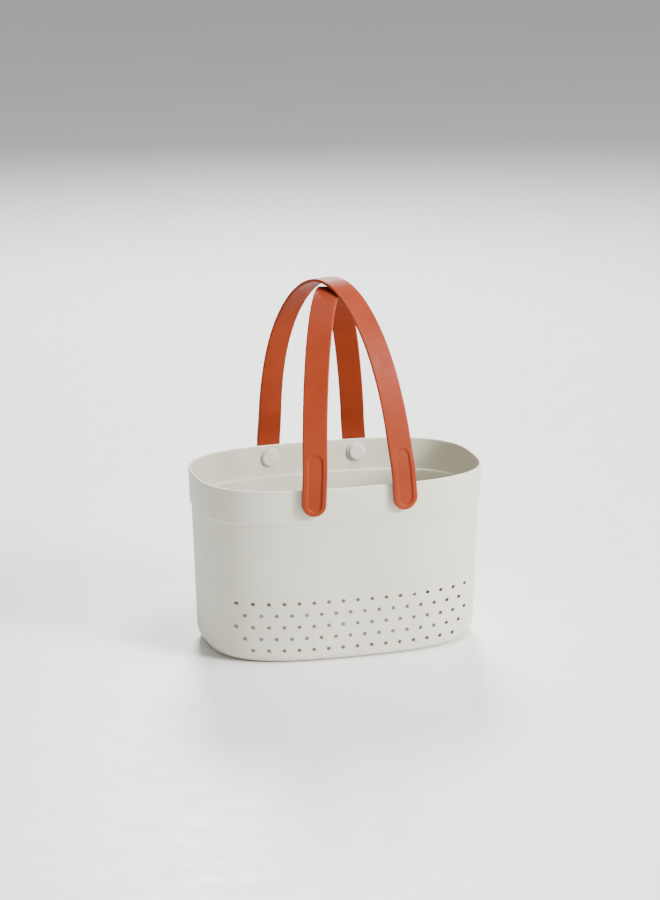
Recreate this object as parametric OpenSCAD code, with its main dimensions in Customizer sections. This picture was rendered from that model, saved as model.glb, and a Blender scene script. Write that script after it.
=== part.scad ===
// Shower caddy: a perforated one-piece basket carried by two soft strap handles that cross
// over it corner to corner. Millimetres, +Z up, +X along the basket, origin under its middle.
// Each strap ends in a tab that turns on a stud through the rim band.

/* [Basket] */
// Length over the rim band
length_top = 290; // [250:1:330]
// Depth over the rim band
depth_top = 175; // [150:1:200]
// Length just above the rounded base
length_base = 276; // [240:1:300]
// Depth just above the rounded base
depth_base = 162; // [140:1:180]
// Height from base to rim
basket_height = 178; // [160:1:200]
// Squareness of the plan: 2 is an ellipse, larger is boxier
squareness = 2.9; // [2.2:0.1:4]
// Radius that rounds the bottom edge
base_round = 10; // [4:1:16]
// Larger radius that rounds it at the two ends
end_round = 16; // [10:1:18]
// Wall thickness
wall = 2.2; // [1.6:0.1:3]
// Floor thickness
floor_thick = 2.6; // [2:0.1:4]

/* [Rim band] */
// Height of the raised band below the rim
band_height = 35; // [30:1:40]
// How far the band stands proud of the wall
band_proud = 1.6; // [1:0.1:2]
// Chamfer along the band's lower edge
band_edge = 0.8; // [0.4:0.1:0.9]

/* [Perforations] */
// Diameter of each hole in the long walls
hole_d = 4; // [3:0.1:5]
// Spacing of the holes along a row
hole_pitch = 14.6; // [12:0.1:15]
// Spacing of the rows
row_pitch = 12; // [10:0.5:13]
// Height of the top row
top_row_z = 61.6; // [58:0.2:66]
// Diameter of each drain hole in the floor
drain_d = 6; // [4:0.5:8]
// Spacing of the drain holes
drain_pitch = 26; // [20:1:30]

/* [Handles] */
// Width of the strap
strap_width = 24; // [18:1:26]
// Thickness of the strap over the crown
strap_thick = 3.2; // [2.5:0.1:3.5]
// Thickness of the tab
tab_thick = 4.8; // [4:0.1:5]
// Height of the outer strap's middle surface at the crown
outer_crown_z = 364.8; // [363:0.1:368]
// Height of the inner strap's middle surface at the crown
inner_crown_z = 356.8; // [350:0.1:357.2]
// How far the outer crown has settled along X
outer_lean_x = -10.4; // [-12:0.2:-6]
// How far the outer crown has settled along Y
outer_lean_y = 5.8; // [2:0.2:7]
// How far the inner crown has settled along X
inner_lean_x = -4.2; // [-8:0.2:0]
// How far the inner crown has settled along Y
inner_lean_y = 0.2; // [-2:0.2:4]

/* [Studs] */
// Distance of each stud from the basket's middle
stud_x = 46; // [42:0.5:48]
// Height of the stud axis
stud_z = 164.5; // [162:0.5:166]
// Shank diameter where the wall turns on it
shank_d = 8; // [6:0.5:10]
// Radial running clearance between shank and wall
shank_gap = 0.05; // [0.03:0.01:0.1]
// Diameter of the head inside the basket
head_d = 16; // [13:0.5:18]
// Thickness of the head
head_thick = 2; // [1.5:0.1:2.5]

/* [Hidden] */

shell_color = "#dcdad0";
strap_color = "#bb5a37";

plan_points = 72;                 // points round the basket's plan
round_steps = 4;                  // slices that round the bottom edge
inner_round = base_round - wall;
thin = 0.01;                      // thickness of a slice inside a hull
band_z = basket_height - band_height;
clear_cut = 1;                    // how far a cutter runs past a face
long_rows = [17, 16, 17, 16, 15]; // holes in each row, from the top row down
drain_cols = 9;
drain_rows = 5;
drain_reach = 0.86;               // drain holes stay inside this share of the floor's plan

outer_side = 1;                   // the outer strap starts at the front right
inner_side = -1;                  // the inner strap starts at the front left
foot_z = 120;                     // height that the strap's curve would run down to
foot_x = 46;                      // half spacing of the curve's feet along X
foot_y = 92.2;                    // half spacing of the curve's feet along Y
shoulder_power = 1.75;            // exponents that shape the arch
leg_power = 0.384;
crown_blunt = 0.21;               // share of the half span over which the crown is rounded
crown_skew = 0.074;               // share of the half span by which the crown is shifted to the front
tab_yaw = 4;                      // the tab lies along the wall
right_tilt = 4.6;                 // the tabs at +X have turned this far inwards on their studs
left_tilt = 2.2;                  // and the tabs at -X this far
crown_yaw = 17;                   // the strap has turned this far from the wall by its crown
front_twist = 1.1;                // exponents that spread the turn along the front and back arms
back_twist = 0.62;
leg_top_z = 268;                  // the leg is stiff up to here
crown_low_z = 318;                // the crown is stiff down to here
tab_top_z = 188;
settle_low = 182;                 // the strap leaves the tab's plane from here up
settle_high = 216;                // and follows the arch from here
strap_edge = 0.8;                 // chamfer along the strap's edges
recess_width = 15.5;
recess_depth = 1.2;
recess_low = 8;                   // distance from the stud down to the end of the recess's arc
tab_gap = 1.4;                    // the tab stands this far off the rim band
leg_steps = 8;
shoulder_steps = 6;
crown_steps = 44;

spigot_d = 6;                     // the stud's end inside the tab
spigot_depth = 3;
spigot_gap = 0.02;
boss_d = 20;                      // flat seat inside the wall for the stud's head
seat_rise = 1.8;                  // the seat stands this far inside the wall
head_gap = 0.2;
shank_stop = 0.4;                 // the shank ends this far short of the tab
shank_root = 0.1;                 // the shank runs this far into the head
spigot_stop = 0.2;

function power(v, e) = sign(v) * pow(abs(v), e);
function plan_y(x, a, b) = b * pow(1 - pow(abs(x) / a, squareness), 1 / squareness);
// y of the rim band's outside, in line with a stud
stud_wall_y = plan_y(stud_x, length_top / 2, depth_top / 2);
tab_y = stud_wall_y + tab_gap + tab_thick / 2;
seat_y = stud_wall_y - wall - seat_rise;

// ---------- basket ----------

function superellipse(a, b) =
    [for (i = [0 : plan_points - 1])
        let (t = 360 * i / plan_points)
        [a * power(cos(t), 2 / squareness), b * power(sin(t), 2 / squareness)]];

// Half length and half depth of the plain wall's outside at a height
function wall_a(z) = length_base / 2 + (length_top / 2 - band_proud - length_base / 2) * z / basket_height;
function wall_b(z) = depth_base / 2 + (depth_top / 2 - band_proud - depth_base / 2) * z / basket_height;

// How far a rounded edge of radius r draws in at a height
function drawn_in(z, r) = z >= r ? 0 : r * (1 - sqrt(1 - pow(1 - max(0, z) / r, 2)));
function end_tuck(z) = drawn_in(z, end_round) - drawn_in(z, base_round);

module plan_slice(z, grow) {
    translate([0, 0, z]) linear_extrude(thin)
        polygon(superellipse(wall_a(z) - end_tuck(z) + grow, wall_b(z) + grow));
}

// A tapered tub with a rounded bottom edge: solid, from z_low up to z_high
module tub_solid(z_low, z_high, radius, grow) {
    hull() {
        for (i = [0 : round_steps]) {
            t = 90 * i / round_steps;
            plan_slice(z_low + radius * (1 - sin(90 - t)) , grow - radius * (1 - sin(t)));
        }
        for (z = [base_round + 2 : 2 : end_round]) plan_slice(z, grow);
        plan_slice(z_high - thin, grow);
    }
}

module rim_band() {
    hull() {
        plan_slice(band_z, band_proud - band_edge);
        plan_slice(band_z + band_edge, band_proud);
        plan_slice(basket_height - thin, band_proud);
    }
}

// The wall keeps its thickness through the band, so the inside steps outward too
module band_inside() {
    hull() {
        plan_slice(band_z + wall, band_proud - wall);
        plan_slice(basket_height + clear_cut, band_proud - wall);
    }
}

// Rows of through holes, cut across both long walls at once
module wall_holes() {
    for (r = [0 : len(long_rows) - 1])
        for (i = [0 : long_rows[r] - 1])
            translate([(i - (long_rows[r] - 1) / 2) * hole_pitch, 0, top_row_z - r * row_pitch])
                rotate([90, 0, 0]) cylinder(d = hole_d, h = 2 * depth_top, center = true, $fn = 16);
}

module drain_holes() {
    for (i = [0 : drain_cols - 1], j = [0 : drain_rows - 1]) {
        x = (i - (drain_cols - 1) / 2) * drain_pitch;
        y = (j - (drain_rows - 1) / 2) * drain_pitch;
        spread = pow(abs(x) / wall_a(0), squareness) + pow(abs(y) / wall_b(0), squareness);
        if (spread < pow(drain_reach, squareness))
            translate([x, y, -clear_cut]) cylinder(d = drain_d, h = base_round, $fn = 20);
    }
}

module each_stud() {
    for (sx = [-1, 1], sy = [-1, 1])
        translate([sx * stud_x, sy * seat_y, stud_z]) rotate([sy * -90, 0, 0]) children();
}

module basket_tub() {
    color(shell_color) difference() {
        union() {
            difference() {
                union() {
                    tub_solid(0, basket_height, base_round, 0);
                    rim_band();
                }
                tub_solid(floor_thick, basket_height + clear_cut, inner_round, -wall);
                band_inside();
            }
            each_stud() cylinder(d = boss_d, h = seat_rise + wall / 2, $fn = 48);
        }
        wall_holes();
        drain_holes();
        each_stud() translate([0, 0, -clear_cut])
            cylinder(d = shank_d + 2 * shank_gap, h = 4 * wall + 2 * seat_rise, $fn = 48);
    }
}

// ---------- handles ----------

function tab_tilt(sx) = sx > 0 ? right_tilt : left_tilt;
function lean(side) = side == outer_side ? [outer_lean_x, outer_lean_y] : [inner_lean_x, inner_lean_y];
function lift(z, top) = max(0, (z - basket_height) / (top - basket_height));
function arch(q) = pow(1 - pow(q * q + crown_blunt * crown_blunt, shoulder_power / 2), leg_power);
function strap_z(t, top) = foot_z + (top - foot_z) * arch(cos(t)) / arch(0);
// Point of the strap's centre line: side is which diagonal, top its crown height, t runs 0 to 180
function strap_point(side, top, t) =
    let (z = strap_z(t, top), u = lift(z, top), along = cos(t) + crown_skew * pow(sin(t), 2),
         arched = [side * foot_x * along + lean(side)[0] * u, -foot_y * along + lean(side)[1] * u, z],
         end = sign(90 - t),
         plane = [end * side * (stud_x - tan(tab_tilt(end * side)) * (z - stud_z)), -end * tab_y, z],
         settle = ease(min(1, max(0, (z - settle_low) / (settle_high - settle_low)))))
    plane + (arched - plane) * settle;
// The value of t, on the front half, at a height
function strap_t(z, top) =
    let (rise = (z - foot_z) / (top - foot_z) * arch(0),
         far = pow(1 - pow(rise, 1 / leg_power), 2 / shoulder_power))
    acos(sqrt(far - crown_blunt * crown_blunt));

function unit(v) = v / norm(v);
function ease(u) = u * u * (3 - 2 * u);
function strap_yaw(side, t, top) =
    side * (tab_yaw + (crown_yaw - tab_yaw)
        * ease(pow(lift(strap_z(t, top), top), t < 90 ? front_twist : back_twist)));
// The strap thins from the tab to its full run
function strap_depth(z) =
    z < tab_top_z ? tab_thick
    : z > leg_top_z ? strap_thick
    : tab_thick + (strap_thick - tab_thick) * ease((z - tab_top_z) / (leg_top_z - tab_top_z));

// Eight points of the strap's section, its edges chamfered
function strap_ring(side, top, t) =
    let (p = strap_point(side, top, t),
         run = unit(strap_point(side, top, t + 0.2) - strap_point(side, top, t - 0.2)),
         yaw = strap_yaw(side, t, top),
         flat = [cos(yaw), sin(yaw), 0],
         across = unit(flat - run * (flat * run)),
         out = cross(across, run),
         w = strap_width / 2,
         h = strap_depth(p[2]) / 2,
         e = strap_edge)
    [for (q = [[w, e - h], [w, h - e], [w - e, h], [e - w, h],
               [-w, h - e], [-w, e - h], [e - w, -h], [w - e, -h]])
        p + across * q[0] + out * q[1]];

// Closed skin over a list of rings
module sweep(rings) {
    n = len(rings[0]);
    last = len(rings) - 1;
    sides = [for (i = [0 : last - 1], j = [0 : n - 1])
        let (a = i * n + j, b = i * n + (j + 1) % n)
        each [[a, b, b + n], [a, b + n, a + n]]];
    caps = [[for (j = [n - 1 : -1 : 0]) j], [for (j = [0 : n - 1]) last * n + j]];
    polyhedron(points = [for (r = rings) each r], faces = concat(sides, caps), convexity = 8);
}

module strap_run(side, top, t0, t1, steps) {
    sweep([for (i = [0 : steps]) strap_ring(side, top, t0 + (t1 - t0) * i / steps)]);
}

// Tab in its own plane: its round end is centred on the stud, its back face is at z = 0
module tab_plate(top) {
    difference() {
        hull() {
            translate([0, 0, strap_edge]) linear_extrude(tab_thick - 2 * strap_edge)
                tab_outline(strap_width, top);
            linear_extrude(tab_thick) tab_outline(strap_width - 2 * strap_edge, top);
        }
        translate([0, 0, tab_thick - recess_depth]) linear_extrude(recess_depth + clear_cut) hull() {
            translate([0, recess_low - recess_width / 2]) circle(d = recess_width, $fn = 40);
            translate([-recess_width / 2, top - strap_edge]) square([recess_width, strap_edge + clear_cut]);
        }
    }
}

module tab_outline(width, top) {
    circle(d = width, $fn = 48);
    translate([-width / 2, 0]) square([width, top]);
}

// One end of a strap: the tab on its stud and the stiff leg above it
module strap_leg(side, top, back) {
    overlap = 0.5;
    t = strap_t(tab_top_z, top);
    t_top = strap_t(leg_top_z, top);
    turn = back ? 180 : 0;
    sx = back ? -side : side;
    sy = back ? 1 : -1;
    color(strap_color) {
        difference() {
            translate([sx * stud_x, sy * (tab_y - tab_thick / 2), stud_z])
                rotate([0, 0, turn + side * tab_yaw]) rotate([90, 0, 0])
                    rotate([0, 0, side * tab_tilt(sx)]) tab_plate(tab_top_z - stud_z + overlap);
            translate([sx * stud_x, 0, stud_z]) rotate([sy * -90, 0, 0])
                cylinder(d = spigot_d + 2 * spigot_gap, h = tab_y - tab_thick / 2 + spigot_depth, $fn = 40);
        }
        strap_run(side, top, back ? 180 - t_top : t, back ? 180 - t : t_top, leg_steps);
    }
}

module strap_shoulder(side, top, back) {
    t0 = strap_t(leg_top_z, top);
    t1 = strap_t(crown_low_z, top);
    color(strap_color)
        strap_run(side, top, back ? 180 - t1 : t0, back ? 180 - t0 : t1, shoulder_steps);
}

module strap_crown(side, top) {
    t = strap_t(crown_low_z, top);
    color(strap_color) strap_run(side, top, t, 180 - t, crown_steps);
}

module outer_front_leg() strap_leg(outer_side, outer_crown_z, false);
module outer_front_shoulder() strap_shoulder(outer_side, outer_crown_z, false);
module outer_crown() strap_crown(outer_side, outer_crown_z);
module outer_back_shoulder() strap_shoulder(outer_side, outer_crown_z, true);
module outer_back_leg() strap_leg(outer_side, outer_crown_z, true);

module inner_front_leg() strap_leg(inner_side, inner_crown_z, false);
module inner_front_shoulder() strap_shoulder(inner_side, inner_crown_z, false);
module inner_crown() strap_crown(inner_side, inner_crown_z);
module inner_back_shoulder() strap_shoulder(inner_side, inner_crown_z, true);
module inner_back_leg() strap_leg(inner_side, inner_crown_z, true);

// ---------- studs ----------

// A headed stud pushed out through the wall from inside, its spigot held in the tab
module stud(sx, sy) {
    back_face = tab_y - tab_thick / 2 - seat_y;
    color(shell_color) translate([sx * stud_x, sy * seat_y, stud_z]) rotate([sy * -90, 0, 0]) {
        translate([0, 0, -head_gap - head_thick]) cylinder(d = head_d, h = head_thick, $fn = 48);
        translate([0, 0, -head_gap - shank_root])
            cylinder(d = shank_d, h = back_face + head_gap + shank_root - shank_stop, $fn = 48);
        cylinder(d = spigot_d, h = back_face + spigot_depth - spigot_stop, $fn = 40);
    }
}

module outer_front_stud() stud(outer_side, -1);
module outer_back_stud() stud(-outer_side, 1);
module inner_front_stud() stud(inner_side, -1);
module inner_back_stud() stud(-inner_side, 1);

basket_tub();
outer_front_leg();
outer_front_shoulder();
outer_crown();
outer_back_shoulder();
outer_back_leg();
inner_front_leg();
inner_front_shoulder();
inner_crown();
inner_back_shoulder();
inner_back_leg();
outer_front_stud();
outer_back_stud();
inner_front_stud();
inner_back_stud();
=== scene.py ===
"""Shower caddy: its looks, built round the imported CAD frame.

Lengths are in metres. +Z is up, +X runs along the basket and the front is at -Y.
"""
import math

import bmesh
import bpy
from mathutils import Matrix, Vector


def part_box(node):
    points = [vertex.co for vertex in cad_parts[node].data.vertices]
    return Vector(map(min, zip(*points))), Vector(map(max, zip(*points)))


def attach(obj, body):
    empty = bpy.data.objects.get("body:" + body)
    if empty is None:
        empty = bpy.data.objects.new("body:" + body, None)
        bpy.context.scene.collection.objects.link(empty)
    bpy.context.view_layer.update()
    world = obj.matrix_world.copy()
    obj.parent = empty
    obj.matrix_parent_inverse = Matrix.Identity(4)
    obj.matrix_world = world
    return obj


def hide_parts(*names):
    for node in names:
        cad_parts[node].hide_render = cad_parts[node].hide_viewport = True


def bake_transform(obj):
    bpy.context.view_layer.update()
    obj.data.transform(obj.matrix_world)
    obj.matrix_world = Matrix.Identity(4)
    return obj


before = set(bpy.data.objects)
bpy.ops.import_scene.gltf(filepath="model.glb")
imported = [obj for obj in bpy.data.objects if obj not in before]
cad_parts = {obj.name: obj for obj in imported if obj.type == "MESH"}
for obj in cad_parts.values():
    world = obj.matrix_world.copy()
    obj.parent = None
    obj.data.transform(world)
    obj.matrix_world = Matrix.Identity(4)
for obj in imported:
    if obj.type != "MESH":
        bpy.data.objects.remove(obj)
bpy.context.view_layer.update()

MM = 0.001

# ---------- sizes shared with the CAD model ----------

TUB_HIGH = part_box("basket_tub")[1]
HEIGHT = TUB_HIGH.z
BAND_PROUD = 1.6 * MM
BAND_Z = HEIGHT - 35 * MM
TOP_A = TUB_HIGH.x - BAND_PROUD          # half length and half depth of the plain wall at the rim
TOP_B = TUB_HIGH.y - BAND_PROUD
BASE_A = 138 * MM                        # and at the base
BASE_B = 81 * MM
SQUARENESS = 2.9
WALL = 2.2 * MM
FLOOR = 2.6 * MM
BASE_ROUND = 10 * MM
END_ROUND = 16 * MM

HOLE_R = 2 * MM
HOLE_PITCH = 14.6 * MM
ROW_PITCH = 12 * MM
TOP_ROW_Z = 61.6 * MM
ROW_COUNTS = (17, 16, 17, 16, 15)        # holes in each row, from the top row down
DRAIN_R = 3 * MM
DRAIN_PITCH = 26 * MM
DRAIN_COLS, DRAIN_ROWS = 9, 5
DRAIN_REACH = 0.86                       # drain holes stay inside this share of the floor's plan

STRAP_HALF = 12 * MM
STRAP_THICK = 3.2 * MM
TAB_THICK = 4.8 * MM
FOOT_X, FOOT_Y, FOOT_Z = 46 * MM, 92.2 * MM, 120 * MM
LEAN = {1: (-10.4 * MM, 5.8 * MM), -1: (-4.2 * MM, 0.2 * MM)}   # of the outer and inner crown
SHOULDER_POWER, LEG_POWER = 1.75, 0.384
CROWN_BLUNT, CROWN_SKEW = 0.21, 0.074
TAB_TOP_Z, LEG_TOP_Z = 188 * MM, 268 * MM
SETTLE_LOW, SETTLE_HIGH = 182 * MM, 216 * MM
TAB_TILT = {1: math.radians(4.6), -1: math.radians(2.2)}        # inwards, at +X and at -X
TAB_YAW, CROWN_YAW = math.radians(4), math.radians(17)
FRONT_TWIST, BACK_TWIST = 1.1, 0.62
STUD_X, STUD_Z = 46 * MM, 164.5 * MM
TAB_GAP = 1.4 * MM
SEAT_RISE = 1.8 * MM                     # the flat seat inside the wall, under a stud's head
HEAD_GAP = 0.2 * MM
SHANK_R = 4 * MM


def smooth(u):
    """Smooth step from 0 to 1."""
    u = min(1.0, max(0.0, u))
    return u * u * (3 - 2 * u)


def mix(a, b, u):
    return a + (b - a) * u


def wall_half(z, grow):
    """Half length and half depth of the wall's outside at a height, grown outwards."""
    u = z / HEIGHT
    return mix(BASE_A, TOP_A, u) + grow, mix(BASE_B, TOP_B, u) + grow


def wall_y(x, z, grow):
    """Distance of the long wall from the middle plane."""
    a, b = wall_half(z, grow)
    return b * (1 - (abs(x) / a) ** SQUARENESS) ** (1 / SQUARENESS)


def plan_reach(x, y, a, b):
    """0 at the middle of the basket's plan and 1 on the outline with half length a and half depth b."""
    return ((abs(x) / a) ** SQUARENESS + (abs(y) / b) ** SQUARENESS) ** (1 / SQUARENESS)


STUD_WALL_Y = wall_y(STUD_X, HEIGHT, BAND_PROUD)
TAB_Y = STUD_WALL_Y + TAB_GAP + TAB_THICK / 2
SEAT_Y = STUD_WALL_Y - WALL - SEAT_RISE


# ---------- camera ----------

CAMERA_AZIMUTH = math.radians(-15.406)
CAMERA_ELEVATION = math.radians(15.46)
CAMERA_ROLL = math.radians(0.106)
CAMERA_DISTANCE = 2.8779
CAMERA_TARGET = Vector((-0.005144, 0, 0.192069))
CAMERA_LENS = 116.06


def add_camera():
    back = Vector((math.sin(CAMERA_AZIMUTH) * math.cos(CAMERA_ELEVATION),
                   -math.cos(CAMERA_AZIMUTH) * math.cos(CAMERA_ELEVATION),
                   math.sin(CAMERA_ELEVATION)))
    data = bpy.data.cameras.new("camera")
    data.lens = CAMERA_LENS
    data.sensor_width = 36
    camera = bpy.data.objects.new("camera", data)
    camera.location = CAMERA_TARGET + back * CAMERA_DISTANCE
    camera.rotation_euler = back.to_track_quat("Z", "Y").to_euler()
    camera.rotation_euler.rotate_axis("Z", -CAMERA_ROLL)
    bpy.context.scene.collection.objects.link(camera)
    bpy.context.scene.camera = camera


# ---------- mesh helpers ----------

def new_object(name, bm):
    """Turn a bmesh into a smooth-shaded object with outward normals."""
    bmesh.ops.recalc_face_normals(bm, faces=bm.faces)
    mesh = bpy.data.meshes.new(name)
    bm.to_mesh(mesh)
    bm.free()
    mesh.shade_smooth()
    obj = bpy.data.objects.new(name, mesh)
    bpy.context.scene.collection.objects.link(obj)
    return obj


def bridge(bm, lower, upper, closed=True):
    """Quads between two lists of vertices of one length."""
    count = len(lower)
    for i in range(count if closed else count - 1):
        j = (i + 1) % count
        bm.faces.new((lower[i], lower[j], upper[j], upper[i]))


def turned_ring(bm, centre, radius, segments):
    """Circle of vertices round a line along Y."""
    angles = [2 * math.pi * i / segments for i in range(segments)]
    return [bm.verts.new(centre + Vector((radius * math.cos(t), 0, radius * math.sin(t)))) for t in angles]


def lathe(bm, profile, centre, sy, segments):
    """Turn a profile of (radius, distance outwards) round a line along Y; ends on the axis close it."""
    rings = []
    for radius, along in profile:
        place = centre + Vector((0, sy * along, 0))
        rings.append(turned_ring(bm, place, radius, segments) if radius else [bm.verts.new(place)])
    for low, high in zip(rings, rings[1:]):
        if len(low) == 1 or len(high) == 1:
            tip, ring = (low[0], high) if len(low) == 1 else (high[0], low)
            for i in range(segments):
                bm.faces.new((tip, ring[i], ring[(i + 1) % segments]))
        else:
            bridge(bm, low, high)


def paint(obj, name, values):
    """Store one number for each vertex, which a material reads."""
    attribute = obj.data.attributes.new(name, "FLOAT", "POINT")
    attribute.data.foreach_set("value", values)


# ---------- basket ----------

CELL_STEPS = 4                            # a hole's cell is this many mesh columns and lines across
HALF_CELL = CELL_STEPS // 2
COLUMN = HOLE_PITCH / CELL_STEPS
LINE = ROW_PITCH / CELL_STEPS
SIDE_COLUMNS = 34                         # mesh columns each side of the middle of a long wall
END_COLUMNS = 36                          # mesh columns round each end
X_END = SIDE_COLUMNS * COLUMN
HOLE_LINES = len(ROW_COUNTS) * CELL_STEPS
HOLE_ZONE_LOW = TOP_ROW_Z - (len(ROW_COUNTS) - 0.5) * ROW_PITCH
HOLE_ZONE_HIGH = HOLE_ZONE_LOW + HOLE_LINES * LINE
# (columns, lines) from a cell's middle to the mesh points round it
CELL_RING = ((2, 2), (1, 2), (0, 2), (-1, 2), (-2, 2), (-2, 1), (-2, 0), (-2, -1),
             (-2, -2), (-1, -2), (0, -2), (1, -2), (2, -2), (2, -1), (2, 0), (2, 1))
# (extra radius, depth) of the rings that round a hole's lip
LIP = ((0.75 * MM, 0), (0.35 * MM, 0.02 * MM), (0.1 * MM, 0.14 * MM), (0, 0.45 * MM))
FLOOR_SUPPORT = 0.6 * MM                  # a flat margin keeps the shading of the fillets off the floor
FILLET_STEPS = 7
PLAIN_LINES = 9                           # mesh lines up the plain wall above the holes
BAND_LINES = 6                            # and up the rim band
RIM_STEPS = 10                            # round the rim's crest
TUCK_FROM = 0.88                          # share of the plan outside which the ends draw in
# painted shade: the colour of the tub's inside is darkened between these heights
SHADE_LOW_Z, SHADE_HIGH_Z = 55 * MM, 105 * MM   # the tub's inside darkens between these heights
BOSS_R = 10 * MM
BOSS_BORE_R = 4.1 * MM
TURNED_STEPS = 64                         # segments round studs and their seats
DRAIN_STEPS = 24                          # and round drain holes


def end_angle(z, grow):
    """Superellipse angle at which the end of the basket meets the long wall's last column."""
    a, _ = wall_half(z, grow)
    return math.acos((X_END / a) ** (SQUARENESS / 2))


def end_point(side, share, z, grow):
    """Point round one end: share runs from -1 at the front to 1 at the back."""
    a, b = wall_half(z, grow)
    t = share * end_angle(z, grow)
    power = 2 / SQUARENESS
    return Vector((side * a * math.cos(t) ** power,
                   math.copysign(b * abs(math.sin(t)) ** power, t), z))


def end_shares():
    """Values of share that space the end's columns evenly along its curve."""
    fine = 2000
    points = [end_point(1, 2 * i / fine - 1, HEIGHT / 2, 0) for i in range(fine + 1)]
    runs = [0.0]
    for p, q in zip(points, points[1:]):
        runs.append(runs[-1] + (q - p).length)
    shares = []
    i = 0
    for k in range(1, END_COLUMNS):
        while runs[i] < runs[-1] * k / END_COLUMNS:
            i += 1
        shares.append(2 * i / fine - 1)
    return shares


def columns():
    """Mesh columns round the basket, as functions of height and growth, anticlockwise from the front left."""
    made = []
    for j in range(-SIDE_COLUMNS, SIDE_COLUMNS + 1):
        made.append(lambda z, grow, x=j * COLUMN: Vector((x, -wall_y(x, z, grow), z)))
    shares = end_shares()
    for share in shares:
        made.append(lambda z, grow, s=share: end_point(1, s, z, grow))
    for j in range(SIDE_COLUMNS, -SIDE_COLUMNS - 1, -1):
        made.append(lambda z, grow, x=j * COLUMN: Vector((x, wall_y(x, z, grow), z)))
    for share in reversed(shares):
        made.append(lambda z, grow, s=share: end_point(-1, s, z, grow))
    return made


def fillet_inset(z, floor_z, radius):
    """How far the rounded bottom edge draws the wall in at a height."""
    if z >= floor_z + radius:
        return 0.0
    cosine = 1 - (z - floor_z) / radius
    return radius * (1 - math.sqrt(1 - cosine * cosine))


def outer_grow(z):
    return -fillet_inset(z, 0, BASE_ROUND)


def inner_grow(z):
    return -WALL - fillet_inset(z, FLOOR, BASE_ROUND - WALL)


def fillet_lines(floor_z, radius, start_z):
    """Heights and insets of the lines from the floor up to the hole zone."""
    last = math.acos(1 - (start_z - floor_z) / radius)
    made = []
    for i in range(FILLET_STEPS):
        t = last * i / FILLET_STEPS
        made.append((floor_z + radius * (1 - math.cos(t)), radius * (1 - math.sin(t))))
    return made


def outer_lines():
    """(height, growth, wear and painted highlight) of the outside lines above the hole zone, up over the
    rim's crest.
    """
    lines = []
    for i in range(1, PLAIN_LINES + 1):
        lines.append((mix(HOLE_ZONE_HIGH, BAND_Z - 1.6 * MM, i / PLAIN_LINES), 0, 0))
    # the band's lower edge: (height, share of the step outwards, wear and painted highlight, strongest on its
    # rounded lip)
    for up, out, wear_and_painted_highlight in ((-0.7, 0, 0), (-0.25, 0.01, 0), (0, 0.05, 0), (0.14, 0.22, 0),
                          (0.2, 0.5, 0.3), (0.32, 0.76, 0.8), (0.58, 0.92, 1), (0.95, 0.98, 0.6),
                          (1.5, 1, 0.1), (3, 1, 0)):
        lines.append((BAND_Z + up * MM, out * BAND_PROUD, wear_and_painted_highlight))
    lip = WALL / 2
    crest = HEIGHT - lip
    for i in range(1, BAND_LINES + 1):
        z = mix(BAND_Z + 3 * MM, crest - 0.8 * MM, i / BAND_LINES)
        lines.append((z, BAND_PROUD, 0.1 * (i == BAND_LINES)))
    # the rim's crest is lightened most at its top, as wear and as a painted highlight
    for i in range(RIM_STEPS + 1):
        t = math.pi * i / RIM_STEPS
        lines.append((crest + lip * math.sin(t), BAND_PROUD - lip + lip * math.cos(t), math.sin(t)))
    return lines


def inner_lines():
    """(height, growth) of the inside lines from the rim down to the hole zone."""
    lines = []
    rim = BAND_PROUD - WALL
    step_z = BAND_Z + WALL
    crest = HEIGHT - WALL / 2
    for i in range(1, BAND_LINES + 1):
        lines.append((mix(crest, step_z + 1.6 * MM, i / BAND_LINES), rim))
    # the step inside the band's lower edge: (height, share of the step inwards)
    for up, share in ((0.9, 0.02), (0.5, 0.08), (0.25, 0.25), (0.1, 0.55),
                      (-0.05, 0.8), (-0.35, 0.95), (-1, 1)):
        lines.append((step_z + up * MM, mix(rim, -WALL, share)))
    for i in range(1, PLAIN_LINES):
        lines.append((mix(step_z - 1 * MM, HOLE_ZONE_HIGH, i / PLAIN_LINES), -WALL))
    return lines


def hole_cells():
    """Middle column and line of each hole's cell, counted from the left end and the zone's bottom line."""
    cells = []
    for r, count in enumerate(ROW_COUNTS):
        line = (len(ROW_COUNTS) - 1 - r) * CELL_STEPS + HALF_CELL
        for i in range(count):
            cells.append((SIDE_COLUMNS + HALF_CELL * (2 * i - count + 1), line))
    return cells


def drain_centres():
    """Places of the floor's drain holes."""
    made = []
    for i in range(DRAIN_COLS):
        for j in range(DRAIN_ROWS):
            x = (i - (DRAIN_COLS - 1) / 2) * DRAIN_PITCH
            y = (j - (DRAIN_ROWS - 1) / 2) * DRAIN_PITCH
            if plan_reach(x, y, BASE_A, BASE_B) < DRAIN_REACH:
                made.append((x, y))
    return made


def bore_hole(bm, outer, inner, side, first, j, k):
    """Round one hole's lips and tube into the cell centred on column j and line k of a long wall."""
    x = (j - SIDE_COLUMNS) * COLUMN
    z = HOLE_ZONE_LOW + k * LINE
    # the back wall's columns run the other way, so its cell is mirrored to keep the rings in step
    cell = [(first + (j + dj if side < 0 else 2 * SIDE_COLUMNS - j - dj), k + dk) for dj, dk in CELL_RING]
    rings = [[outer[line][column] for column, line in cell]]
    for grow, depth_sign, lips in ((outer_grow, -1, LIP), (inner_grow, 1, tuple(reversed(LIP)))):
        for extra, depth in lips:
            ring = []
            for m in range(len(CELL_RING)):
                t = math.pi / 4 + 2 * math.pi * m / len(CELL_RING)
                px = x + (HOLE_R + extra) * math.cos(t)
                pz = z + (HOLE_R + extra) * math.sin(t)
                y = wall_y(px, pz, grow(pz)) + depth_sign * depth
                ring.append(bm.verts.new((px, side * y, pz)))
            rings.append(ring)
    rings.append([inner[line][column] for column, line in cell])
    for low, high in zip(rings, rings[1:]):
        bridge(bm, low, high)


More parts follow.
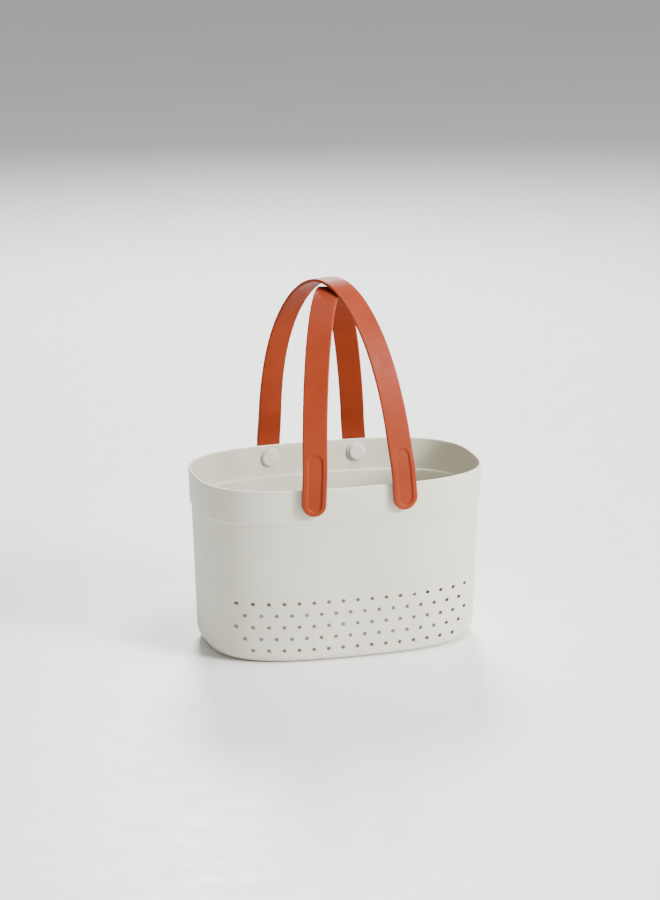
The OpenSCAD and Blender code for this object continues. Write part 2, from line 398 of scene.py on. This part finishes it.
def loop_edges(bm, ring):
    return [bm.edges.get((ring[i], ring[(i + 1) % len(ring)])) or
            bm.edges.new((ring[i], ring[(i + 1) % len(ring)])) for i in range(len(ring))]


def fill_floor(bm, under, above):
    """Close the floor between its outlines, with a round-lipped drain hole at each centre."""
    low_edges, high_edges = loop_edges(bm, under), loop_edges(bm, above)
    profile = [(DRAIN_R + extra, depth) for extra, depth in LIP]
    profile += [(radius, FLOOR - depth) for radius, depth in reversed(profile)]
    angles = [2 * math.pi * i / DRAIN_STEPS for i in range(DRAIN_STEPS)]
    for x, y in drain_centres():
        rings = [[bm.verts.new((x + radius * math.cos(t), y + radius * math.sin(t), z)) for t in angles]
                 for radius, z in profile]
        for low, high in zip(rings, rings[1:]):
            bridge(bm, low, high)
        low_edges += loop_edges(bm, rings[0])
        high_edges += loop_edges(bm, rings[-1])
    for edges in (low_edges, high_edges):
        bmesh.ops.triangle_fill(bm, edges=edges, use_beauty=True, use_dissolve=False)


def add_bosses(bm):
    """Flat round seats inside the wall for the studs' heads."""
    buried = SEAT_RISE + WALL * 0.6
    profile = ((BOSS_BORE_R, buried), (BOSS_R + 0.6 * MM, buried), (BOSS_R + 0.25 * MM, SEAT_RISE),
               (BOSS_R, 0.9 * MM), (BOSS_R - 0.05 * MM, 0.45 * MM), (BOSS_R - 0.2 * MM, 0.14 * MM),
               (BOSS_R - 0.5 * MM, 0), (BOSS_R - 1.2 * MM, 0), (BOSS_BORE_R + 0.4 * MM, 0),
               (BOSS_BORE_R, 0.3 * MM))
    for sx in (-1, 1):
        for sy in (-1, 1):
            centre = Vector((sx * STUD_X, sy * SEAT_Y, STUD_Z))
            rings = [turned_ring(bm, centre + Vector((0, sy * along, 0)), radius, TURNED_STEPS)
                     for radius, along in profile]
            for low, high in zip(rings, rings[1:] + rings[:1]):
                bridge(bm, low, high)


def tuck_end(point):
    """Draw a point near the base in towards the middle, so that the ends round off more than the sides."""
    x, y, z = point
    if z >= END_ROUND:
        return
    a, b = wall_half(z, outer_grow(z))
    tuck = fillet_inset(z, 0, END_ROUND) - fillet_inset(z, 0, BASE_ROUND)
    point.x *= 1 - tuck / a * smooth((plan_reach(x, y, a, b) - TUCK_FROM) / (1 - TUCK_FROM))


def interior_painted_shade(point):
    """Amount of shade painted into the colour: 1 deep inside the tub, where little light comes back out, and
    0 outside and near the rim.
    """
    x, y, z = point
    if z < FLOOR / 2 or plan_reach(x, y, *wall_half(z, outer_grow(z) - WALL / 2)) > 1:
        return 0.0
    return smooth((SHADE_HIGH_Z - z) / (SHADE_HIGH_Z - SHADE_LOW_Z))


def build_basket():
    """One closed shell: up the outside, over the rim, down the inside, with floor, holes and seats."""
    bm = bmesh.new()
    cols = columns()
    wear_and_painted_highlight = {}

    def ring(z, grow, worn_and_lit=0.0):
        made = [bm.verts.new(column(z, grow)) for column in cols]
        for v in made:
            wear_and_painted_highlight[v] = worn_and_lit
        return made

    zone = [HOLE_ZONE_LOW + k * LINE for k in range(HOLE_LINES + 1)]
    under = ring(0, -BASE_ROUND - FLOOR_SUPPORT)
    # the rounded bottom edge is a little lightened, as wear and as a painted highlight
    outer_fillet = [ring(z, -inset, 0.15) for z, inset in fillet_lines(0, BASE_ROUND, HOLE_ZONE_LOW)]
    outer_zone = [ring(z, outer_grow(z)) for z in zone]
    over = [ring(z, grow, worn_and_lit) for z, grow, worn_and_lit in outer_lines()]
    inside = [ring(z, grow) for z, grow in inner_lines()]
    inner_zone = [ring(z, inner_grow(z)) for z in zone]
    inner_fillet = [ring(z, -WALL - inset)
                    for z, inset in reversed(fillet_lines(FLOOR, BASE_ROUND - WALL, HOLE_ZONE_LOW))]
    above = ring(FLOOR, -BASE_ROUND - FLOOR_SUPPORT)

    for rings in ([under] + outer_fillet + outer_zone[:1],
                  outer_zone[-1:] + over + inside + inner_zone[-1:],
                  inner_zone[:1] + inner_fillet + [above]):
        for low, high in zip(rings, rings[1:]):
            bridge(bm, low, high)

    # the hole zone: plain quads, except in the holes' cells on the two long walls
    back_first = 2 * SIDE_COLUMNS + END_COLUMNS
    cells = hole_cells()
    open_quads = set()
    for j, k in cells:
        for dj in range(-HALF_CELL, HALF_CELL):
            for dk in range(-HALF_CELL, HALF_CELL):
                open_quads.add((j + dj, k + dk))
                open_quads.add((back_first + j + dj, k + dk))
    for rings in (outer_zone, inner_zone):
        for k in range(HOLE_LINES):
            for c in range(len(cols)):
                if (c, k) in open_quads:
                    continue
                d = (c + 1) % len(cols)
                bm.faces.new((rings[k][c], rings[k][d], rings[k + 1][d], rings[k + 1][c]))
    for side, first in ((-1, 0), (1, back_first)):
        for j, k in cells:
            bore_hole(bm, outer_zone, inner_zone, side, first, j, k)

    fill_floor(bm, under, above)
    add_bosses(bm)
    worn_and_lit = [wear_and_painted_highlight.get(v, 0.0) for v in bm.verts]
    shade = [interior_painted_shade(v.co) for v in bm.verts]
    for v in bm.verts:
        tuck_end(v.co)
    basket = new_object("basket", bm)
    # lighter edges, as wear and as a painted highlight, for the material to read
    paint(basket, "wear_and_painted_highlight", worn_and_lit)
    # painted shade deep inside the tub, for the material to read
    paint(basket, "interior_painted_shade", shade)
    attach(basket, "basket")
    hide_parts("basket_tub")
    basket.data.materials.append(basket_plastic())


# ---------- strap handles ----------

EDGE = 1.25 * MM                          # radius of the strap's rounded edges
EDGE_STEPS = 4
ACROSS = 44                               # mesh columns across the strap
TAB_LINE = 0.6 * MM                       # spacing of the mesh lines along the tab
RUN_LINE = 2.4 * MM                       # and along the rest of the strap
RECESS_HALF = 7.75 * MM
RECESS_LOW_Z = STUD_Z - 8 * MM
RECESS_HIGH_Z = 213.5 * MM
RECESS_DEPTH = 1.3 * MM
RECESS_EDGE = 1.5 * MM                    # width over which the recess's side falls
CURVE_STEPS = 1200                        # fine steps along half a strap, from which the stations are picked
FIRST_STEP = 0.15 * MM                    # keeps the shading of a strap's two halves in line at the crown
TIP_STEPS = 24                            # mesh lines round a tab's end


def arch(q):
    return (1 - (q * q + CROWN_BLUNT ** 2) ** (SHOULDER_POWER / 2)) ** LEG_POWER


def strap_z(t, top):
    return FOOT_Z + (top - FOOT_Z) * arch(math.cos(t)) / arch(0)


def strap_t(z, top):
    """The value of t, on the front half, at a height."""
    rise = (z - FOOT_Z) / (top - FOOT_Z) * arch(0)
    far = (1 - rise ** (1 / LEG_POWER)) ** (2 / SHOULDER_POWER)
    return math.acos(math.sqrt(far - CROWN_BLUNT ** 2))


def lift(z, top):
    return max(0.0, (z - HEIGHT) / (top - HEIGHT))


def centre_line(side, top, t, back):
    """Middle of the strap, t running from its foot to 90 degrees at the crown; it settles into the tab."""
    z = strap_z(t, top)
    u = lift(z, top)
    end = -1 if back else 1
    along = end * math.cos(t) + CROWN_SKEW * math.sin(t) ** 2
    lean_x, lean_y = LEAN[side]
    arched = Vector((side * FOOT_X * along + lean_x * u, -FOOT_Y * along + lean_y * u, z))
    tilt = math.tan(TAB_TILT[end * side]) * (z - STUD_Z)
    plane = Vector((end * side * (STUD_X - tilt), -end * TAB_Y, z))
    return plane.lerp(arched, smooth((z - SETTLE_LOW) / (SETTLE_HIGH - SETTLE_LOW)))


def strap_depth(z):
    if z < TAB_TOP_Z:
        return TAB_THICK
    return mix(TAB_THICK, STRAP_THICK, smooth((z - TAB_TOP_Z) / (LEG_TOP_Z - TAB_TOP_Z)))


def strap_stations(side, top, back):
    """(place, direction across, direction outwards, thickness, height) down the strap, crown first."""
    t_low = strap_t(STUD_Z, top)
    ts = [mix(math.pi / 2, t_low, i / CURVE_STEPS) for i in range(CURVE_STEPS + 1)]
    points = [centre_line(side, top, t, back) for t in ts]
    picks = [0]
    gone = 0.0
    goal = FIRST_STEP
    for i in range(1, CURVE_STEPS + 1):
        gone += (points[i] - points[i - 1]).length
        if gone >= goal or i == CURVE_STEPS:
            picks.append(i)
            near_tab = points[i].z < RECESS_HIGH_Z + 3 * MM
            goal = gone + (TAB_LINE if near_tab else RUN_LINE)
    stations = []
    small = 1e-4
    for i in picks:
        t, place = ts[i], points[i]
        run = centre_line(side, top, t + small, back) - centre_line(side, top, t - small, back)
        run.normalize()
        twist = BACK_TWIST if back else FRONT_TWIST
        yaw = side * mix(TAB_YAW, CROWN_YAW, smooth(lift(place.z, top) ** twist))
        flat = Vector((math.cos(yaw), math.sin(yaw), 0))
        across = (flat - run * flat.dot(run)).normalized()
        # outwards is away from the basket at the tab and up at the crown
        out = across.cross(run).normalized()
        if back:
            out = -out
        stations.append((place, across, out, strap_depth(place.z), place.z))
    return stations


def recess_depth(x, z):
    """Depth of the pill-shaped recess in the tab's face, x from its middle line."""
    low, high = RECESS_LOW_Z + RECESS_HALF, RECESS_HIGH_Z - RECESS_HALF
    nearest = min(max(z, low), high)
    inside = RECESS_HALF - math.hypot(x, z - nearest)
    return RECESS_DEPTH * smooth(inside / RECESS_EDGE)


def edge_profile(half_thick):
    """(inset, height) round the strap's edge, from its face to its back."""
    made = []
    radius = min(EDGE, half_thick * 0.92)
    for i in range(EDGE_STEPS + 1):
        t = math.pi / 2 * (1 - i / EDGE_STEPS)
        made.append((radius * (1 - math.cos(t)), half_thick - radius * (1 - math.sin(t))))
    return made + [(inset, -height) for inset, height in reversed(made)]


def build_half_strap(name, side, top, back, replaced):
    """Half of one handle, from its tab to the crown, bending at the shoulder."""
    bm = bmesh.new()
    wear_and_painted_highlight = []
    stations = strap_stations(side, top, back)
    tab = stations[-1]
    inner = STRAP_HALF - EDGE             # half width of the flat faces

    def vert(station, x, height, drop, worn_and_lit):
        place, across, out = station[:3]
        wear_and_painted_highlight.append(worn_and_lit)
        return bm.verts.new(place + across * x + out * height + Vector((0, 0, -drop)))

    # the tab's round end: lines further down from the stud, each shorter than the last
    lines = [(s, 0.0, 1.0) for s in stations]
    for i in range(1, TIP_STEPS):
        t = math.pi / 2 * i / TIP_STEPS
        lines.append((tab, math.sin(t), math.cos(t)))

    faces, backs, left_edges, right_edges = [], [], [], []
    for station, sine, cosine in lines:
        *_, thick, z = station
        half = thick / 2
        face, rear = [], []
        for j in range(ACROSS + 1):
            u = 2 * j / ACROSS - 1
            x = u * inner * cosine
            drop = inner * sine
            dip = recess_depth(x, z - drop)
            lip = 4 * (dip / RECESS_DEPTH) * (1 - dip / RECESS_DEPTH)
            # the recess's side falls inwards, so only its upper lip is lightened, as wear and as a painted
            # highlight
            worn_and_lit = 0.7 * lip * (dip < RECESS_DEPTH / 2) + 0.25 * smooth((abs(u) - 0.9) * 10)
            face.append(vert(station, x, half - dip, drop, worn_and_lit))
            rear.append(vert(station, x, -half, drop, 0.0))
        faces.append(face)
        backs.append(rear)
        for edge, sign in ((left_edges, -1), (right_edges, 1)):
            points = []
            for inset, height in edge_profile(half)[1:-1]:
                r = STRAP_HALF - inset
                # the rounded edges are lightened as wear and as a painted highlight, more on the face side
                # than on the back
                points.append(vert(station, sign * r * cosine, height, r * sine, 1.0 if height > 0 else 0.4))
            edge.append(points)
    # the tip, where both edges meet
    *_, thick, z = tab
    half = thick / 2
    # the tip's rounded edge is lightened like the other edges, as wear and as a painted highlight
    tip_face = vert(tab, 0, half - recess_depth(0, z - inner), inner, 0.3)
    tip_rear = vert(tab, 0, -half, inner, 0.0)
    tip_edge = [vert(tab, 0, height, STRAP_HALF - inset, 1.0) for inset, height in edge_profile(half)[1:-1]]

    for grid in (faces, backs):
        for low, high in zip(grid, grid[1:]):
            bridge(bm, low, high, closed=False)
    for edge, j in ((left_edges, 0), (right_edges, ACROSS)):
        strips = [[face[j]] + points + [rear[j]] for face, points, rear in zip(faces, edge, backs)]
        strips.append([tip_face] + tip_edge + [tip_rear])
        for low, high in zip(strips, strips[1:]):
            bridge(bm, low, high, closed=False)
    for grid, tip in ((faces, tip_face), (backs, tip_rear)):
        last = grid[-1]
        for j in range(ACROSS):
            bm.faces.new((last[j], last[j + 1], tip))
    # the cut end at the crown, where the other half meets this one
    rim = faces[0] + right_edges[0] + list(reversed(backs[0])) + list(reversed(left_edges[0]))
    bm.faces.new(rim)

    strap = new_object(name, bm)
    strap.data.set_sharp_from_angle(angle=math.radians(60))
    paint(strap, "wear_and_painted_highlight", wear_and_painted_highlight)
    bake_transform(strap)
    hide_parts(*replaced)
    strap.data.materials.append(strap_rubber())


def build_straps():
    for handle, side, crown in (("outer", 1, "outer_crown"), ("inner", -1, "inner_crown")):
        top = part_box(crown)[1].z - STRAP_THICK / 2
        for end, back in (("front", False), ("back", True)):
            build_half_strap(f"{handle}_strap_{end}", side, top, back,
                             (f"{handle}_{end}_leg", f"{handle}_{end}_shoulder", crown))


# ---------- studs ----------

def build_stud(handle, end, sx, sy):
    """Headed stud through the wall: its head sits on the seat inside the basket."""
    bm = bmesh.new()
    head_r, head_thick = 8 * MM, 2 * MM
    spigot_r = 3 * MM                     # the end that is moulded into the tab
    face = -HEAD_GAP - head_thick
    back_face = TAB_Y - TAB_THICK / 2 - SEAT_Y
    profile = ((0, face), (2.2 * MM, face), (2.5 * MM, face + 0.02 * MM), (2.9 * MM, face + 0.3 * MM),
               (3.3 * MM, face + 0.3 * MM), (3.7 * MM, face + 0.02 * MM), (4 * MM, face),
               (head_r - 1.3 * MM, face + 0.05 * MM), (head_r - 0.75 * MM, face + 0.16 * MM),
               (head_r - 0.32 * MM, face + 0.42 * MM), (head_r - 0.08 * MM, face + 0.8 * MM),
               (head_r, face + 1.15 * MM), (head_r, -HEAD_GAP - 0.3 * MM),
               (head_r - 0.1 * MM, -HEAD_GAP - 0.08 * MM), (head_r - 0.3 * MM, -HEAD_GAP),
               (SHANK_R + 0.3 * MM, -HEAD_GAP), (SHANK_R, -HEAD_GAP + 0.2 * MM),
               (SHANK_R, back_face - 0.9 * MM), (SHANK_R - 0.1 * MM, back_face - 0.55 * MM),
               (SHANK_R - 0.4 * MM, back_face - 0.4 * MM), (spigot_r + 0.2 * MM, back_face - 0.4 * MM),
               (spigot_r, back_face - 0.2 * MM), (spigot_r, back_face + 2.4 * MM),
               (spigot_r - 0.3 * MM, back_face + 2.8 * MM), (0, back_face + 2.8 * MM))
    lathe(bm, profile, Vector((sx * STUD_X, sy * SEAT_Y, STUD_Z)), sy, TURNED_STEPS)
    # the head is a little lightened, as wear and as a painted highlight
    worn_and_lit = [0.3 if abs(abs(v.co.y) - SEAT_Y) < 3 * MM else 0.0 for v in bm.verts]
    stud = new_object(f"{handle}_{end}_rivet", bm)
    paint(stud, "wear_and_painted_highlight", worn_and_lit)
    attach(stud, f"{handle}_{end}")
    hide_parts(f"{handle}_{end}_stud")
    stud.data.materials.append(stud_plastic())


def build_studs():
    for handle, side in (("outer", 1), ("inner", -1)):
        build_stud(handle, "front", side, -1)
        build_stud(handle, "back", -side, 1)


# ---------- materials ----------

class Nodes:
    """Short calls that add shader nodes to one material."""

    def __init__(self, name):
        self.material = bpy.data.materials.new(name)
        self.material.use_nodes = True
        self.tree = self.material.node_tree
        self.shader = self.tree.nodes["Principled BSDF"]
        self.place = self.tree.nodes.new("ShaderNodeTexCoord").outputs["Object"]

    def noise(self, scale, detail, rough=0.5):
        node = self.tree.nodes.new("ShaderNodeTexNoise")
        node.inputs["Scale"].default_value = scale
        node.inputs["Detail"].default_value = detail
        node.inputs["Roughness"].default_value = rough
        self.tree.links.new(self.place, node.inputs["Vector"])
        return node.outputs["Fac"]

    def cells(self, scale):
        node = self.tree.nodes.new("ShaderNodeTexVoronoi")
        node.feature = "SMOOTH_F1"
        node.inputs["Scale"].default_value = scale
        self.tree.links.new(self.place, node.inputs["Vector"])
        return node.outputs["Distance"]

    def attribute(self, name):
        node = self.tree.nodes.new("ShaderNodeAttribute")
        node.attribute_name = name
        return node.outputs["Fac"]

    def spread(self, value, low, high, to_low, to_high):
        node = self.tree.nodes.new("ShaderNodeMapRange")
        self.tree.links.new(value, node.inputs["Value"])
        settings = {"From Min": low, "From Max": high, "To Min": to_low, "To Max": to_high}
        for socket, number in settings.items():
            node.inputs[socket].default_value = number
        return node.outputs["Result"]

    def blend(self, factor, first, second):
        """Mix two colours; each is a colour or another node's output."""
        node = self.tree.nodes.new("ShaderNodeMix")
        node.data_type = "RGBA"
        self.tree.links.new(factor, node.inputs["Factor"])
        for socket, colour in ((node.inputs[6], first), (node.inputs[7], second)):
            if isinstance(colour, tuple):
                socket.default_value = (*colour, 1)
            else:
                self.tree.links.new(colour, socket)
        return node.outputs[2]

    def add(self, first, second):
        node = self.tree.nodes.new("ShaderNodeMath")
        node.operation = "ADD"
        self.tree.links.new(first, node.inputs[0])
        self.tree.links.new(second, node.inputs[1])
        return node.outputs[0]

    def bump(self, height, distance, strength, under=None):
        node = self.tree.nodes.new("ShaderNodeBump")
        node.inputs["Strength"].default_value = strength
        node.inputs["Distance"].default_value = distance
        self.tree.links.new(height, node.inputs["Height"])
        if under is not None:
            self.tree.links.new(under, node.inputs["Normal"])
        return node.outputs["Normal"]

    def set(self, **values):
        for name, value in values.items():
            self.shader.inputs[name.replace("_", " ")].default_value = value

    def link(self, name, output):
        self.tree.links.new(output, self.shader.inputs[name])


def moulded_plastic(name, base, shade, worn_and_lit, painted_shade_colour=(0.2, 0.19, 0.15)):
    """Matte moulded polypropylene: fine spark texture, slight waviness, edges a little lighter and smoother;
    the lighter edge colour is wear and a painted highlight.

    Deep inside the tub, shade is painted into the colour, darker as if things in the basket kept the light
    out.
    """
    nodes = Nodes(name)
    cloud = nodes.spread(nodes.noise(14, 3), 0.35, 0.65, 0, 1)
    fleck = nodes.spread(nodes.noise(700, 4, 0.6), 0.3, 0.7, 0, 1)
    colour = nodes.blend(cloud, base, shade)
    colour = nodes.blend(nodes.spread(fleck, 0, 1, 0, 0.25), colour, shade)
    wear_and_painted_highlight = nodes.attribute("wear_and_painted_highlight")
    # edges marked for wear and painted highlight blend towards the lighter colour
    colour = nodes.blend(nodes.spread(wear_and_painted_highlight, 0, 1, 0, 0.6), colour, worn_and_lit)
    # painted shade: deep inside the tub the colour blends towards a dark grey-brown
    colour = nodes.blend(nodes.spread(nodes.attribute("interior_painted_shade"), 0, 1, 0, 0.75), colour, painted_shade_colour)
    nodes.link("Base Color", colour)
    rough = nodes.spread(nodes.noise(90, 4), 0.3, 0.7, 0.43, 0.53)
    nodes.link("Roughness", nodes.add(rough, nodes.spread(wear_and_painted_highlight, 0, 1, 0, -0.1)))
    wavy = nodes.bump(nodes.noise(26, 1), 0.0006, 0.25)
    grain = nodes.bump(nodes.noise(2100, 3, 0.6), 0.00006, 0.5, wavy)
    nodes.link("Normal", grain)
    nodes.set(IOR=1.49, Subsurface_Weight=0.12, Subsurface_Scale=0.002)
    nodes.shader.inputs["Subsurface Radius"].default_value = (1.0, 0.85, 0.6)
    return nodes.material


def basket_plastic():
    return moulded_plastic("basket_plastic", (0.67, 0.66, 0.545), (0.635, 0.625, 0.515), (0.78, 0.775, 0.68))


def stud_plastic():
    return bpy.data.materials.get("stud_plastic") or moulded_plastic(
        "stud_plastic", (0.72, 0.71, 0.65), (0.68, 0.67, 0.61), (0.78, 0.77, 0.72))


def strap_rubber():
    """Soft-touch moulded elastomer: satin, with a fine grain and lighter edges, the lighter colour being wear
    and a painted highlight.
    """
    made = bpy.data.materials.get("strap_rubber")
    if made:
        return made
    nodes = Nodes("strap_rubber")
    base, deep, worn_and_lit = (0.248, 0.0335, 0.0085), (0.214, 0.027, 0.0065), (0.33, 0.052, 0.016)
    cloud = nodes.spread(nodes.noise(22, 3), 0.35, 0.65, 0, 1)
    fleck = nodes.spread(nodes.noise(900, 4, 0.6), 0.3, 0.7, 0, 0.35)
    colour = nodes.blend(cloud, base, deep)
    colour = nodes.blend(fleck, colour, deep)
    wear_and_painted_highlight = nodes.attribute("wear_and_painted_highlight")
    # edges marked for wear and painted highlight blend towards the lighter colour
    colour = nodes.blend(nodes.spread(wear_and_painted_highlight, 0, 1, 0, 0.55), colour, worn_and_lit)
    nodes.link("Base Color", colour)
    rough = nodes.spread(nodes.noise(120, 4), 0.3, 0.7, 0.46, 0.56)
    nodes.link("Roughness", nodes.add(rough, nodes.spread(wear_and_painted_highlight, 0, 1, 0, -0.1)))
    wavy = nodes.bump(nodes.noise(60, 1), 0.0004, 0.2)
    grain = nodes.bump(nodes.cells(1900), 0.00008, 0.35, wavy)
    nodes.link("Normal", grain)
    nodes.set(IOR=1.44, Specular_IOR_Level=0.17)
    return nodes.material


# ---------- floor and light ----------

def floor_paint():
    nodes = Nodes("floor_paint")
    cloud = nodes.spread(nodes.noise(3, 3), 0.35, 0.65, 0, 1)
    nodes.link("Base Color", nodes.blend(cloud, (0.93, 0.925, 0.915), (0.91, 0.905, 0.895)))
    nodes.link("Roughness", nodes.spread(nodes.noise(40, 3), 0.3, 0.7, 0.38, 0.5))
    return nodes.material


def add_floor():
    reach = 6.0
    bm = bmesh.new()
    corners = ((-reach, -reach, 0), (reach, -reach, 0), (reach, reach, 0), (-reach, reach, 0))
    bm.faces.new([bm.verts.new(corner) for corner in corners])
    floor = new_object("floor", bm)
    floor.data.materials.append(floor_paint())


def add_area_light(name, place, aim, size, power, colour):
    data = bpy.data.lights.new(name, "AREA")
    data.size = size
    data.energy = power
    data.color = colour
    light = bpy.data.objects.new(name, data)
    light.location = place
    light.rotation_euler = (Vector(aim) - Vector(place)).to_track_quat("-Z", "Y").to_euler()
    bpy.context.scene.collection.objects.link(light)


def add_lights():
    aim = (0, 0, 0.15)
    add_area_light("key", (1.65, -1.6, 1.25), aim, 0.8, 128, (1, 0.98, 0.95))
    add_area_light("overhead", (0.45, -0.35, 2.2), aim, 0.6, 44, (1, 0.99, 0.98))
    add_area_light("rear", (0.4, 1.95, 1.5), aim, 0.7, 85, (1, 0.99, 0.98))
    world = bpy.data.worlds.new("studio")
    world.use_nodes = True
    sky = world.node_tree.nodes["Background"]
    sky.inputs["Color"].default_value = (0.97, 0.975, 1, 1)
    sky.inputs["Strength"].default_value = 0.42
    bpy.context.scene.world = world


# ---------- the scene ----------

add_camera()
build_basket()
build_straps()
build_studs()
add_floor()
add_lights()
